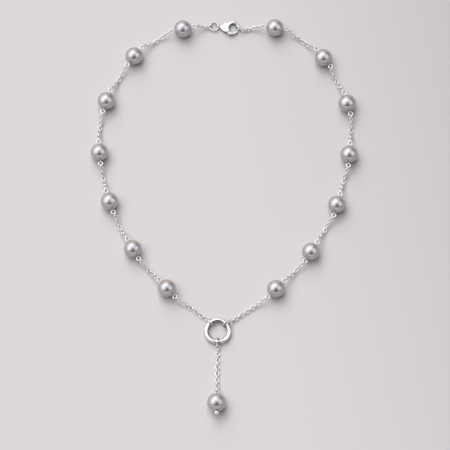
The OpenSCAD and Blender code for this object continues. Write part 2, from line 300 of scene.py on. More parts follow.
def sweep(path, normal, radius, sides=16, closed=False):
    """Round wire along a path that lies in one plane, with rounded cut ends."""
    p = np.asarray(path, float)
    n = len(p)
    r = np.broadcast_to(np.asarray(radius, float), (n,)).copy()
    if closed:
        t = np.roll(p, -1, 0) - np.roll(p, 1, 0)
    else:
        t = np.gradient(p, axis=0)
    t /= np.linalg.norm(t, axis=1)[:, None]
    if not closed:
        # a small round on each cut end
        k = 0.18
        first = [p[0] + t[0] * r[0] * 0.0, p[0] + t[0] * r[0] * k * 0.3, p[0] + t[0] * r[0] * k]
        last = [p[-1] - t[-1] * r[-1] * k, p[-1] - t[-1] * r[-1] * k * 0.3, p[-1]]
        p = np.vstack([first, p[1:-1], last])
        t = np.vstack([np.repeat(t[:1], 3, 0), t[1:-1], np.repeat(t[-1:], 3, 0)])
        r = np.concatenate([[r[0] * (1 - k), r[0] * (1 - 0.3 * k), r[0]], r[1:-1], [r[-1], r[-1] * (1 - 0.3 * k), r[-1] * (1 - k)]])
        n = len(p)
    a = np.broadcast_to(unit(normal), (n, 3))
    b = np.cross(t, a)
    ang = np.arange(sides) * 2 * math.pi / sides
    verts = (p[:, None, :] + r[:, None, None] * (np.cos(ang)[None, :, None] * a[:, None, :] + np.sin(ang)[None, :, None] * b[:, None, :])).reshape(-1, 3)
    faces = []
    for i in range(n if closed else n - 1):
        j = (i + 1) % n
        for s in range(sides):
            q = (s + 1) % sides
            faces.append((i * sides + s, i * sides + q, j * sides + q, j * sides + s))
    if not closed:
        faces.append(tuple(range(sides))[::-1])
        faces.append(tuple((n - 1) * sides + s for s in range(sides)))
    return verts, faces


# weights for painted shade: the side of a wire that faces into its loop is drawn darker
def inner_side(verts, sides, centres, within):
    """How far each point of a wire faces the middle of its loop, from 0 to 1."""
    v = np.asarray(verts, float).reshape(-1, sides, 3)
    mid = v.mean(1)
    to = np.asarray(centres, float)[None] - mid[:, None]
    far = np.linalg.norm(to, axis=-1)
    near = far.argmin(1)
    row = np.arange(len(mid))
    to, far = to[row, near], far[row, near]
    off = v - mid[:, None]
    off /= np.maximum(np.linalg.norm(off, axis=-1, keepdims=True), 1e-9)
    face = (off * (to / np.maximum(far, 1e-9)[:, None])[:, None]).sum(-1)
    return (np.clip(face, 0, 1) * (far < within)[:, None]).reshape(-1)


def lathe(profile, origin, axis, across, around=64, ripple=None):
    """A closed outline (distance along the axis, radius) turned about the axis."""
    x, y = unit(axis), unit(across)
    y = unit(y - x * float(np.dot(x, y)))
    z = np.cross(x, y)
    prof = np.asarray(profile, float)
    n = len(prof)
    ang = np.arange(around) * 2 * math.pi / around
    rad = np.cos(ang)[:, None] * y + np.sin(ang)[:, None] * z
    pts = prof[None, :, 0, None] * x + prof[None, :, 1, None] * rad[:, None, :]
    if ripple is not None:
        pts = pts * ripple(pts)[..., None]
    verts = pts.reshape(-1, 3) + np.asarray(origin, float)
    faces = []
    for i in range(around):
        j = (i + 1) % around
        for k in range(n):
            q = (k + 1) % n
            faces.append((i * n + k, j * n + k, j * n + q, i * n + q))
    return verts, faces


def capped_lathe(profile, origin, axis, across, around=48):
    """An outline whose two ends lie on the axis, turned about it."""
    x, y = unit(axis), unit(across)
    y = unit(y - x * float(np.dot(x, y)))
    z = np.cross(x, y)
    prof = np.asarray(profile, float)
    o = np.asarray(origin, float)
    ang = np.arange(around) * 2 * math.pi / around
    rad = np.cos(ang)[:, None] * y + np.sin(ang)[:, None] * z
    mid = prof[1:-1]
    n = len(mid)
    verts = [o + x * prof[0, 0], o + x * prof[-1, 0]]
    verts = np.vstack([verts, (mid[None, :, 0, None] * x + mid[None, :, 1, None] * rad[:, None, :]).reshape(-1, 3) + o])
    faces = []
    for i in range(around):
        j = (i + 1) % around
        a, c = 2 + i * n, 2 + j * n
        faces.append((0, c, a))
        for k in range(n - 1):
            faces.append((a + k, c + k, c + k + 1, a + k + 1))
        faces.append((a + n - 1, c + n - 1, 1))
    return verts, faces


# ---------------------------------------------------------------- smooth solids from distances
def smin(a, b, k):
    h = np.clip(0.5 + 0.5 * (b - a) / k, 0, 1)
    return b * (1 - h) + a * h - k * h * (1 - h)


def smax(a, b, k):
    return -smin(-a, -b, k)


def disc(p, at, r):
    return np.hypot(p[..., 0] - at[0], p[..., 1] - at[1]) - r


def cone(p, a, b, ra, rb):
    """Distance to the outline that wraps two circles, or two balls."""
    a, b = np.asarray(a, float), np.asarray(b, float)
    ba = b - a
    l2 = float(ba @ ba)
    rr = ra - rb
    a2 = l2 - rr * rr
    pa = p[..., :len(a)] - a
    y = pa @ ba
    z = y - l2
    w = pa * l2 - ba * y[..., None]
    x2 = (w * w).sum(-1)
    y2, z2 = y * y * l2, z * z * l2
    k = np.sign(rr) * rr * rr * x2
    side = (np.sqrt(x2 * a2 / l2) + y * rr) / l2 - ra
    far = np.sqrt(x2 + z2) / l2 - rb
    near = np.sqrt(x2 + y2) / l2 - ra
    return np.where(np.sign(z) * a2 * z2 > k, far, np.where(np.sign(y) * a2 * y2 < k, near, side))


def slab(d2, z, half, r):
    """An outline given a thickness, with edges of radius r."""
    qx, qz = d2 + r, np.abs(z) - half + r
    return np.minimum(np.maximum(qx, qz), 0) + np.hypot(np.maximum(qx, 0), np.maximum(qz, 0)) - r


def skin(f, lo, hi, step, rounds=4):
    """A smooth closed mesh of the solid where f is below 0."""
    lo, hi = np.asarray(lo, float), np.asarray(hi, float)
    n = np.ceil((hi - lo) / step).astype(int) + 1
    ax = [lo[i] + step * np.arange(n[i]) for i in range(3)]
    grid = np.stack(np.meshgrid(*ax, indexing="ij"), -1)
    F = f(grid)
    ins = F < 0
    c = n - 1

    def corner(A, d):
        return A[d[0]:d[0] + c[0], d[1]:d[1] + c[1], d[2]:d[2] + c[2]]

    offs = [(i, j, k) for i in (0, 1) for j in (0, 1) for k in (0, 1)]
    total = sum(corner(ins, d).astype(int) for d in offs)
    active = (total > 0) & (total < 8)
    index = np.full(active.shape, -1)
    cells = np.argwhere(active)
    index[active] = np.arange(len(cells))
    acc = np.zeros(tuple(c) + (3,))
    cnt = np.zeros(tuple(c))
    for axis in range(3):
        for d in offs:
            if d[axis]:
                continue
            e = list(d)
            e[axis] = 1
            f0, f1 = corner(F, d), corner(F, tuple(e))
            cross = (f0 < 0) != (f1 < 0)
            t = np.where(cross, f0 / np.where(cross, f0 - f1, 1.0), 0)
            pos = np.zeros(tuple(c) + (3,))
            for q in range(3):
                pos[..., q] = d[q] + (t if q == axis else 0)
            acc += pos * cross[..., None]
            cnt += cross
    verts = lo + step * (cells + acc[active] / cnt[active][:, None])
    faces = []
    for axis in range(3):
        u, v = (axis + 1) % 3, (axis + 2) % 3
        sl0 = [slice(None)] * 3
        sl1 = [slice(None)] * 3
        sl0[axis], sl1[axis] = slice(0, -1), slice(1, None)
        a, b = ins[tuple(sl0)], ins[tuple(sl1)]
        for at in np.argwhere(a != b):
            if at[u] == 0 or at[v] == 0 or at[u] >= c[u] or at[v] >= c[v]:
                continue
            quad = []
            for du, dv in ((-1, -1), (0, -1), (0, 0), (-1, 0)):
                cell = at.copy()
                cell[u] += du
                cell[v] += dv
                quad.append(int(index[tuple(cell)]))
            faces.append(tuple(quad if a[tuple(at)] else quad[::-1]))
    h = 1e-3
    for _ in range(rounds):
        val = f(verts)
        g = np.stack([(f(verts + h * e) - f(verts - h * e)) / (2 * h) for e in np.eye(3)], -1)
        size = (g * g).sum(-1)
        move = -(val / np.maximum(size, 0.2))[:, None] * g
        length = np.linalg.norm(move, axis=1)
        move *= np.minimum(1, 0.5 * step / np.maximum(length, 1e-9))[:, None]
        verts = verts + move
    return verts, faces


# ---------------------------------------------------------------- pearls
def pearl_profile(r, rings=72):
    """Outline of a drilled pearl: the ball from hole to hole, softened lips, and the bore."""
    lip = 0.07
    a0 = math.asin((DRILL_R + lip) / r)
    pts = [(-r * math.cos(a), r * math.sin(a)) for a in np.linspace(a0, math.pi - a0, rings)]
    edge = math.sqrt(r * r - DRILL_R ** 2)
    x1 = pts[-1][0]
    lipped = [(x1 - 0.012, DRILL_R + lip * 0.55), (x1 - 0.035, DRILL_R + lip * 0.2), (x1 - 0.08, DRILL_R)]
    bore = [(x, DRILL_R) for x in np.linspace(edge * 0.75, -edge * 0.75, 5)]
    back = [(-x, y) for x, y in lipped[::-1]]
    return pts + lipped + bore + back


def uneven(seed, amount):
    """A pearl is never quite round: a few slow waves."""
    rnd = random.Random(seed)
    waves = []
    for _ in range(5):
        d = unit([rnd.gauss(0, 1) for _ in range(3)])
        waves.append((d, rnd.uniform(1.2, 3.0), rnd.uniform(0, 6.28), rnd.uniform(0.3, 1.0) * amount))

    def ripple(p):
        u = p / np.maximum(np.linalg.norm(p, axis=-1, keepdims=True), 1e-9)
        s = np.ones(p.shape[:-1])
        for d, k, ph, a in waves:
            s = s - a * 0.5 * (1 + np.sin(k * 3 * (u @ d) + ph))
        return s
    return ripple


for i, (x, y, a) in enumerate(STATION):
    v, f = lathe(pearl_profile(PEARL_R), (x, y, PEARL_R), heading(a), (0, 0, 1), 96, uneven(11 + i, 0.0022))
    make("pearl_%02d" % (i + 1), v, f, PEARL)

drop_mid = np.array([DROP_AT[0], DROP_AT[1], DROP_R])
cl, sl = math.cos(math.radians(DROP_LEAN)), math.sin(math.radians(DROP_LEAN))
drop_up = np.array([0.0, cl, -sl])          # from the drop pearl's middle to its eye
drop_side = np.array([-1.0, 0.0, 0.0])
drop_flat = np.cross(drop_up, drop_side)
v, f = lathe(pearl_profile(DROP_R), drop_mid, drop_up, (1, 0, 0), 96, uneven(40, 0.002))
make("drop_pearl", v, f, PEARL)


# ---------------------------------------------------------------- pins with round eyes
def eye_path(side, reach):
    """The stem's end and the round eye, in a plane: x along the pin, y across. side turns the eye over."""
    cx = reach
    join = (cx + EYE_R * math.cos(math.radians(200)), side * EYE_R * math.sin(math.radians(200)))
    tang = (-math.sin(math.radians(200)), side * math.cos(math.radians(200)))
    start = (cx - EYE_R - 0.42, 0.0)
    out = []
    for t in np.linspace(0, 1, 9):
        # a short bend from the stem into the eye
        c1 = (start[0] + 0.34, 0.0)
        c2 = (join[0] - tang[0] * 0.26, join[1] - tang[1] * 0.26)
        b0, b1, b2, b3 = (1 - t) ** 3, 3 * t * (1 - t) ** 2, 3 * t * t * (1 - t), t ** 3
        out.append((b0 * start[0] + b1 * c1[0] + b2 * c2[0] + b3 * join[0], b1 * c1[1] + b2 * c2[1] + b3 * join[1]))
    for a in np.linspace(200, 512, 44)[1:]:
        out.append((cx + EYE_R * math.cos(math.radians(a)), side * EYE_R * math.sin(math.radians(a))))
    return out


def pin(heap, mid, along, across, reach, side_a, side_b):
    """The wire through a pearl, with an eye at both ends."""
    along, across = unit(along), unit(across)
    a = [(-px, py) for px, py in eye_path(side_a, reach)][::-1]
    b = eye_path(side_b, reach)
    stem = [(s, 0.0) for s in np.linspace(a[-1][0], b[0][0], 9)[1:-1]]
    pts = a + stem + b
    rad = np.interp([abs(px) for px, _ in pts], [0, reach - EYE_R - 0.5, reach - EYE_R, 99], [PIN_R, PIN_R, EYE_WIRE / 2, EYE_WIRE / 2])
    path = [mid + px * along + py * across for px, py in pts]
    v, f = sweep(path, np.cross(along, across), rad, 16)
    # painted shade inside both eyes
    heap.add(v, f, inner_side(v, 16, [mid - reach * along, mid + reach * along], EYE_R * 1.1))


for i, (x, y, a) in enumerate(STATION):
    rnd = random.Random(70 + i)
    heap = Heap()
    h = heading(a)
    pin(heap, np.array([x, y, PEARL_R]), h, np.cross([0, 0, 1], h), PEARL_R + EYE_OUT, rnd.choice((-1, 1)), rnd.choice((-1, 1)))
    heap.make("pin_%02d" % (i + 1), WIRE, "wire")

heap = Heap()
reach = DROP_R + EYE_OUT
b = eye_path(1, reach)
foot = -BALL_OUT + BALL_R * 0.9
pts = [(s, 0.0) for s in np.linspace(foot, b[0][0], 12)[:-1]] + b
rad = np.interp([abs(px) for px, _ in pts], [0, reach - EYE_R - 0.5, reach - EYE_R, 99], [PIN_R, PIN_R, EYE_WIRE / 2, EYE_WIRE / 2])
v, f = sweep([drop_mid + px * drop_up + py * drop_side for px, py in pts], drop_flat, rad, 16)
# painted shade inside the eye
heap.add(v, f, inner_side(v, 16, [drop_mid + reach * drop_up], EYE_R * 1.1))
prof = [(-BALL_OUT - BALL_R * math.cos(t), BALL_R * math.sin(t)) for t in np.linspace(0, math.pi * 0.9, 40)]
prof[0] = (prof[0][0], 0.0)
neck = -BALL_OUT + BALL_R
prof += [(neck - 0.03, 0.33), (neck + 0.02, 0.3), (neck + 0.08, PIN_R + 0.01), (neck + 0.2, PIN_R + 0.005), (neck + 0.5, 0.0)]
heap.add(*capped_lathe(prof, drop_mid, drop_up, drop_side, 56))
heap.make("head_pin", BRIGHT, "wire")


# ---------------------------------------------------------------- rings
def cut_ring(mid, u, w, r, wire, seam, gap=0.05, seg=96, sides=20):
    """A jump ring in the plane of u and w, with its two ends almost meeting at the angle seam."""
    half = math.degrees(gap / 2 / r)
    ang = np.radians(np.linspace(seam + half, seam + 360 - half, seg))
    path = [np.asarray(mid) + r * (math.cos(t) * unit(u) + math.sin(t) * unit(w)) for t in ang]
    v, f = sweep(path, np.cross(unit(u), unit(w)), wire / 2, sides)
    # weights for painted shade on the inside of the ring
    return v, f, inner_side(v, sides, [mid], 99)


def link_frame(k):
    around, points, leans = RING_LINK[k]
    mid = np.array([RING_AT[0], RING_AT[1], 0]) + (RING_OD - RING_W) / 2 * heading(around)
    mid[2] = JUMP_R * math.cos(math.radians(leans)) + JUMP_WIRE / 2 + 0.02
    h = heading(points)
    left = np.cross([0, 0, 1], h)
    up = math.cos(math.radians(leans)) * np.array([0, 0, 1.0]) + math.sin(math.radians(leans)) * left
    return mid, h, up


for k, name in enumerate(("ring_link_left", "ring_link_right", "ring_link_bottom")):
    mid, h, up = link_frame(k)
    v, f, w = cut_ring(mid + np.array([0, 0, 0.025]), h, up, JUMP_R, JUMP_WIRE + 0.06, (215, 320, 140)[k])
    make(name, v, f, WIRE, inner=w)


def ring_section(n=72):
    """Outline of the centre ring's section: a soft square, a little domed on top."""
    pts = []
    for t in np.linspace(0, 2 * math.pi, n, endpoint=False):
        c, s = math.cos(t), math.sin(t)
        e = 2 / 2.15
        pts.append((RING_W / 2 * math.copysign(abs(c) ** e, c), RING_H / 2 * math.copysign(abs(s) ** e, s)))
    return pts


section = ring_section()
ang = np.linspace(0, 2 * math.pi, 220, endpoint=False)
verts = []
for t in ang:
    wob = 0.012 * math.sin(3 * t + 0.7) + 0.008 * math.sin(7 * t + 2.1)
    r0 = (RING_OD - RING_W) / 2 - 0.01
    for sx, sz in section:
        verts.append((RING_AT[0] + (r0 + sx * (1 + wob * 0.5)) * math.cos(t), RING_AT[1] + (r0 + sx * (1 + wob * 0.5)) * math.sin(t),
                      RING_Z + RING_H / 2 + sz * (0.992 + wob * 0.4)))
n = len(section)
faces = []
for i in range(len(ang)):
    j = (i + 1) % len(ang)
    for k in range(n):
        q = (k + 1) % n
        faces.append((i * n + k, j * n + k, j * n + q, i * n + q))
# painted shade: darker on the inner side of the ring's section, a little darker on its outer edge
side = [math.cos(2 * math.pi * k / n) for k in range(n)]
side = np.array(side)
wall_shade = 0.8 * np.clip((-side - 0.2) / 0.5, 0, 1) + 0.5 * np.clip((side - 0.8) / 0.2, 0, 1)
# painted shadow and dark reflection: dark marks on both sides of each jump ring
jump_ring_shade = np.zeros(len(ang))
for around, _, _ in RING_LINK:
    far = np.abs((ang - math.radians(around) + math.pi) % (2 * math.pi) - math.pi) * (RING_OD - RING_W) / 2
    jump_ring_shade = np.maximum(jump_ring_shade, np.exp(-((far - 0.72) / 0.30) ** 2))
inside = np.clip(wall_shade[None] + 0.75 * jump_ring_shade[:, None], 0, 1).reshape(-1)
make("centre_ring", verts, faces, BRIGHT, inner=inside)

# ---------------------------------------------------------------- clasp
clasp_at = np.array([PIVOT_AT[0], PIVOT_AT[1], 0.0])


def arc_tube(p, at, r, z, wire, a0, a1):
    """Distance to round wire bent along a circle from a0 to a1 degrees, with round ends."""
    dx, dy, dz = p[..., 0] - at[0], p[..., 1] - at[1], p[..., 2] - z
    ang = np.degrees(np.arctan2(dy, dx))
    mid = (a0 + a1) / 2
    rel = (ang - mid + 180) % 360 - 180
    rel = np.radians(np.clip(rel, a0 - mid, a1 - mid) + mid)
    q = np.stack([dx - r * np.cos(rel), dy - r * np.sin(rel), dz], -1)
    return np.sqrt((q * q).sum(-1)) - wire


def body_solid(p):
    x, y, z = p[..., 0], p[..., 1], p[..., 2]
    d = np.minimum(disc(p, HEAD_AT, HEAD_R), disc(p, HOOK_AT, HEAD_R))
    d = np.minimum(d, cone(p, HEAD_AT, BELLY_AT, HEAD_R, BELLY_R))
    d = np.minimum(d, cone(p, BELLY_AT, NECK_AT, BELLY_R, NECK_R))
    hole = cone(p, (1.75, 2.45), (1.75, 2.85), 2.05, 2.05)
    a, b = math.radians(-125), math.radians(44)
    rx, ry = x - HEAD_AT[0], y - HEAD_AT[1]
    wedge = np.maximum(-(math.cos(a) * ry - math.sin(a) * rx), -(rx * math.sin(b) - ry * math.cos(b)))
    inner = -d                                   # depth inside the outline, before it is cut
    d = smax(d, -hole, 0.12)
    d = smax(d, -wedge, 0.25)
    d = smax(d, -disc(p, (0, 0), 0.86), 0.06)
    top = np.interp(x, [-6, -4.6, -3.6, -2.4, 1.2, 2.6, 3.8, 6], [0.5, 0.56, 0.86, 1.17, 1.19, 1.08, 0.76, 0.7])
    low = np.interp(x, [-6, -4.6, -3.6, -2.4, 1.2, 2.6, 3.8, 6], [0.5, 0.56, 0.86, 1.17, 1.19, 1.02, 0.68, 0.62])
    crown = 1 - 0.12 * np.clip(1 - inner / 1.7, 0, 1) ** 2
    half = np.where(z > MID_Z, top, low) * crown
    plate = slab(d, z - MID_Z, half, 0.28)
    hook = arc_tube(p, HOOK_AT, HOOK_R, HOOK_Z, 0.54, HOOK_END, 54)
    s = smin(plate, hook, 0.35)
    nub = cone(p, (1.7, 5.5, MID_Z), (1.7, 6.6, MID_Z), 0.32, 0.35)
    s = smin(s, nub, 0.1)
    # the lever's room
    room = np.maximum(disc(p, (0, 0), LEVER_LEN + 0.4 + 0.09), np.abs(z - 1.4) - 1.1)
    a, b = math.radians(-8), math.radians(LEVER_REST + 30)
    room = np.maximum(room, np.maximum(-(math.cos(a) * y - math.sin(a) * x), -(x * math.sin(b) - y * math.cos(b))))
    s = smax(s, -room, 0.06)
    # the tongue under the lever's cheeks and the pivot pin
    tongue = smin(disc(p, (0, 0), 0.57), cone(p, (0, 0), (-1.2, 1.6), 0.57, 0.75), 0.05)
    s = smin(s, slab(tongue, z - MID_Z, 0.35, 0.08), 0.06)
    pivot = slab(disc(p, (0, 0), 0.3), z - 1.3, 1.12, 0.1)
    s = np.minimum(s, pivot)
    # the eye at the tail
    ex, ey, ez = x - TAIL_EYE[0], y - TAIL_EYE[1], z - TAIL_EYE[2]
    eye = np.hypot(np.hypot(ex, ez) - 0.8, ey) - 0.3
    s = smin(s, eye, 0.28)
    return s


def lever_solid(p):
    x, y, z = p[..., 0], p[..., 1], p[..., 2]
    a = math.radians(LEVER_REST)
    tip = (LEVER_LEN * math.cos(a), LEVER_LEN * math.sin(a))
    cheek = smin(disc(p, (0, 0), 0.72), cone(p, (0, 0), KNOB_AT, 0.58, 0.33), 0.12)
    cheeks = np.minimum(slab(cheek, z - 0.5, 0.34, 0.14), slab(cheek, z - 2.1, 0.34, 0.14))
    arm2 = cone(p, KNOB_AT, tip, 0.35, 0.38)
    half = np.interp(x, [0.6, 1.6, tip[0] - 0.6, tip[0] + 0.4], [0.82, 0.79, 0.72, 0.6])
    s = smin(cheeks, slab(arm2, z - MID_Z, half, 0.24), 0.12)
    slot = np.maximum(disc(p, (0, 0), 0.79), np.abs(z - MID_Z) - 0.45)
    s = smax(s, -slot, 0.05)
    s = smax(s, -disc(p, (0, 0), 0.35), 0.05)
    # stays inside the thickness
    return np.maximum(s, np.abs(z - MID_Z) - 1.15)


def flank_shade(f, v, most):
    """How far each point faces sideways or down, from 0 to most."""
    h = 1e-3
    g = np.stack([f(v + h * e) - f(v - h * e) for e in np.eye(3)], -1)
    nz = g[:, 2] / np.maximum(np.linalg.norm(g, axis=1), 1e-9)
    return most * np.clip((0.55 - nz) / 0.45, 0, 1)


# painted shade: the clasp's sides and undersides are drawn darker through the inner weight
v, f = skin(body_solid, (-6.7, -1.2, -0.1), (5.2, 7.4, 2.7), 0.075)
make("clasp_body", v + clasp_at, f, BRIGHT, inner=flank_shade(body_solid, v, 0.75))
v, f = skin(lever_solid, (-1.2, -1.5, -0.1), (4.6, 1.9, 2.7), 0.06)
make("clasp_lever", v + clasp_at, f, BRIGHT, body=LEVER, inner=flank_shade(lever_solid, v, 0.6))

tail_r, tail_wire, tail_tilt = 2.05, 0.8, 4.0
ct, st = math.cos(math.radians(tail_tilt)), math.sin(math.radians(tail_tilt))
tail_mid = clasp_at + np.array(TAIL_EYE) + tail_r * (ct * heading(172) - np.array([0, 0, st]))
v, f, w = cut_ring(tail_mid, (ct, 0, st), (0, 1, 0), tail_r, tail_wire, 232, gap=0.07, sides=24)
make("clasp_ring", v, f, BRIGHT, inner=w)

end_r, end_wire = 1.85, 0.5
end_mid = clasp_at + np.array([HOOK_AT[0], HOOK_AT[1], 0]) + HOOK_R * heading(-5) + 0.5 * heading(-32) + np.array([0, 0, 2.1])
v, f, w = cut_ring(end_mid, heading(-32), (0, 0, 1), end_r, end_wire, 118)
make("end_ring", v, f, WIRE, inner=w)


# ---------------------------------------------------------------- chain
def oval(seg=32, sides=12):
    """One link: round wire bent to an oval, its middle line LINK_L long."""
    t = np.linspace(0, 2 * math.pi, seg, endpoint=False)
    px, py = LINK_L / 2 * np.cos(t), LINK_W / 2 * np.sin(t)
    return sweep(np.stack([px, py, 0 * t], -1), (0, 0, 1), LINK_WIRE / 2, sides, closed=True)


OVAL_V, OVAL_F = oval()
# painted shade on the inside of each link, darkest at the two ends, where the links beside it pass through
OVAL_SHADE = inner_side(OVAL_V, 12, [(0, 0, 0)], 99) * np.clip(0.45 + np.abs(OVAL_V[:, 0]) / LINK_L, 0, 0.9)


def smooth_path(pts, step=0.05):
    """A smooth curve through the points, evenly stepped: (points, lengths)."""
    p = np.asarray(pts, float)
    p = np.vstack([2 * p[0] - p[1], p, 2 * p[-1] - p[-2]])
    out = []
    for i in range(1, len(p) - 2):
        p0, p1, p2, p3 = p[i - 1:i + 3]
        d1, d2, d3 = (max(np.linalg.norm(q) ** 0.5, 1e-6) for q in (p1 - p0, p2 - p1, p3 - p2))
        m1 = (p1 - p0) / d1 - (p2 - p0) / (d1 + d2) + (p2 - p1) / d2
        m2 = (p2 - p1) / d2 - (p3 - p1) / (d2 + d3) + (p3 - p2) / d3
        m1, m2 = m1 * d2, m2 * d2
        for t in np.linspace(0, 1, 60, endpoint=False):
            t2, t3 = t * t, t ** 3
            out.append((2 * t3 - 3 * t2 + 1) * p1 + (t3 - 2 * t2 + t) * m1 + (3 * t2 - 2 * t3) * p2 + (t3 - t2) * m2)
    out.append(p[-2])
    out = np.asarray(out)
    s = np.concatenate([[0], np.cumsum(np.linalg.norm(np.diff(out, axis=0), axis=1))])
    k = np.linspace(0, s[-1], max(int(s[-1] / step), 8))
    return np.stack([np.interp(k, s, out[:, i]) for i in range(out.shape[1])], -1), k


def chain(name, a, b, mids, hold_a, hold_b, upright_a, upright_b, pitch, seed, twist, fall_a=8.0, fall_b=8.0):
    """Links from wire a to wire b. upright says that the end link stands on edge.
    hold is how far the end link's own wire lies past the wire it hangs on."""
    rnd = random.Random(seed)
    flat, s = smooth_path([a[:2]] + [np.asarray(m, float) for m in mids] + [b[:2]])
    L = s[-1]
    low = 0.95
    up_a = np.clip(1 - s / fall_a, 0, 1) ** 1.6
    up_b = np.clip(1 - (L - s) / fall_b, 0, 1) ** 1.6
    z = low + (a[2] - low) * up_a + (b[2] - low) * up_b
    path = np.column_stack([flat, z])
    s = np.concatenate([[0], np.cumsum(np.linalg.norm(np.diff(path, axis=0), axis=1))])
    L = s[-1]
    same = upright_a == upright_b
    want = (L + hold_a + hold_b - LINK_L) / pitch + 1
    n = max(int(round(want)), 2)
    if (n % 2 == 1) != same:
        n += 1 if want > n else -1
    # never stretched: the wires of two links can't pass through each other
    while (L + hold_a + hold_b - LINK_L) / (n - 1) > LINK_L - LINK_WIRE:
        n += 2
    first, last = -hold_a + LINK_L / 2, L + hold_b - LINK_L / 2
    turn = rnd.choice((-1, 1)) * twist
    bend = rnd.choice((-1, 1)) * 0.03

    def at(d):
        if d <= 0:
            return path[0] + (path[1] - path[0]) / (s[1] - s[0]) * d
        if d >= L:
            return path[-1] + (path[-1] - path[-2]) / (s[-1] - s[-2]) * (d - L)
        return np.array([np.interp(d, s, path[:, i]) for i in range(3)])

    heap = Heap()
    for i in range(n):
        f = i / (n - 1)
        d = first + (last - first) * f
        ends = 0 if i in (0, n - 1) else 1
        h = LINK_L / 2 - LINK_WIRE / 2
        p0, p1 = at(d - h), at(d + h)
        mid = (p0 + p1) / 2
        T = unit(p1 - p0)
        T = unit(T + ends * np.array([rnd.uniform(-0.05, 0.05), rnd.uniform(-0.05, 0.05), rnd.uniform(-0.04, 0.04)]))
        S = unit(np.cross([0, 0, 1], T))
        U = np.cross(T, S)
        roll = (90.0 if upright_a else 0.0) + 90.0 * i + turn * math.sin(math.pi * f) ** 0.8 + ends * rnd.uniform(-5, 5)
        c, q = math.cos(math.radians(roll)), math.sin(math.radians(roll))
        side = c * S + q * U
        face = np.cross(T, side)
        mid = mid + ends * (rnd.uniform(-0.04, 0.04) * S + bend * (1 if i % 2 else -1) * S)
        half = abs(q) * LINK_W / 2 + LINK_WIRE / 2 + abs(T[2]) * LINK_L / 2
        mid[2] = max(mid[2], half + 0.015)
        grow = 1 + ends * rnd.uniform(-0.012, 0.012)
        heap.add(mid + OVAL_V[:, :1] * grow * T + OVAL_V[:, 1:2] * side + OVAL_V[:, 2:3] * face, OVAL_F, OVAL_SHADE)
    heap.make(name, CHAIN, "chain")
    return n, L, (last - first) / (n - 1)


def pin_eye(i, side):
    """The middle of the far wire of a station's eye."""
    x, y, a = STATION[i]
    return np.array([x, y, PEARL_R]) + side * (PEARL_R + EYE_OUT + EYE_R) * heading(a)


def jump_out(k):
    mid, h, up = link_frame(k)
    return mid + JUMP_R * h


HOLD_EYE = EYE_WIRE / 2 + LINK_WIRE / 2
HOLD_JUMP = JUMP_WIRE / 2 + LINK_WIRE / 2
PITCH = [1.50, 1.41, 1.38, 1.43, 1.35, 1.35, 1.42, 1.67, 1.54, 1.70, 1.69, 1.60, 1.41, 1.33, 1.47, 1.53, 1.70]
TWIST = [12, 3, 10, 10, 5, 5, 5, 10, 3, 10, 12, 10, 12, 6, 6, 8, 14]
tail_out = tail_mid + tail_r * np.array([-ct, 0, -st])
end_out = end_mid + end_r * heading(-32)
lengths = []
for k in range(16):
    hold_a = hold_b = HOLD_EYE
    up_a = up_b = True
    a = pin_eye(k - 1, 1) if 1 <= k < 8 else pin_eye(k - 2, 1) if k > 8 else None
    b = pin_eye(k, -1) if k < 7 else pin_eye(k - 1, -1) if 8 <= k < 15 else None
    if k == 0:
        a, hold_a = tail_out, tail_wire / 2 + LINK_WIRE / 2 + 0.45
    if k == 7:
        b, hold_b, up_b = jump_out(0), HOLD_JUMP, False
    if k == 8:
        a, hold_a, up_a = jump_out(1), HOLD_JUMP, False
    if k == 15:
        b, hold_b, up_b = end_out, end_wire / 2 + LINK_WIRE / 2, False
    lengths.append(chain("chain_%02d" % (k + 1), a, b, ROUTE[k], hold_a, hold_b, up_a, up_b, PITCH[k], 200 + k, TWIST[k],
                         fall_a=3.5 if k in (0, 8) else 8.0, fall_b=3.5 if k in (7, 15) else 8.0))
drop_eye = drop_mid + (DROP_R + EYE_OUT + EYE_R) * drop_up
lengths.append(chain("drop_chain", jump_out(2), drop_eye, DROP_ROUTE, HOLD_JUMP, HOLD_EYE, False, True, PITCH[16], 300, TWIST[16], fall_a=3.5, fall_b=5.0))
print("links", [q[0] for q in lengths], "lengths", [round(float(q[1]), 1) for q in lengths], "pitches", [round(float(q[2]), 2) for q in lengths])

# ---------------------------------------------------------------- floor, light and camera
mesh = bpy.data.meshes.new("table_top")
R = 3.0
mesh.from_pydata([(-R, -R, 0), (R, -R, 0), (R, R, 0), (-R, R, 0)], [], [(0, 1, 2, 3)])
table = bpy.data.objects.new("table_top", mesh)
bpy.context.scene.collection.objects.link(table)


def paper(m, b):
    p = m.place_mm()
    # painted shade: the floor grows darker toward the right, as if less light reached it
    far = m.vec("DOT_PRODUCT", p, (0.98, 0.20, 0.0))
    shade = m.math("POWER", m.span(far, 10.0, 160.0, 0.0, 1.0), 1.3)
    tone = m.mix(shade, (0.589, 0.572, 0.575, 1), (0.455, 0.438, 0.443, 1))
    grain = m.noise(p, 2.2, 4.0, 0.6)
    tone = m.mix(m.span(grain, 0.3, 0.7, 0.0, 0.05), tone, (0.55, 0.54, 0.543, 1))
    m.put(b.inputs["Base Color"], tone)
    b.inputs["Roughness"].default_value = 0.75
    b.inputs["Specular IOR Level"].default_value = 0.2
    m.put(b.inputs["Normal"], m.bump(grain, 0.08, 0.0001))


mesh.materials.append(surface("paper", paper))

world = bpy.data.worlds.new("studio")
bpy.context.scene.world = world
world.use_nodes = True
world.node_tree.nodes.clear()
m = Maker(world.node_tree)
way = m.node("ShaderNodeTexCoord").outputs["Generated"]


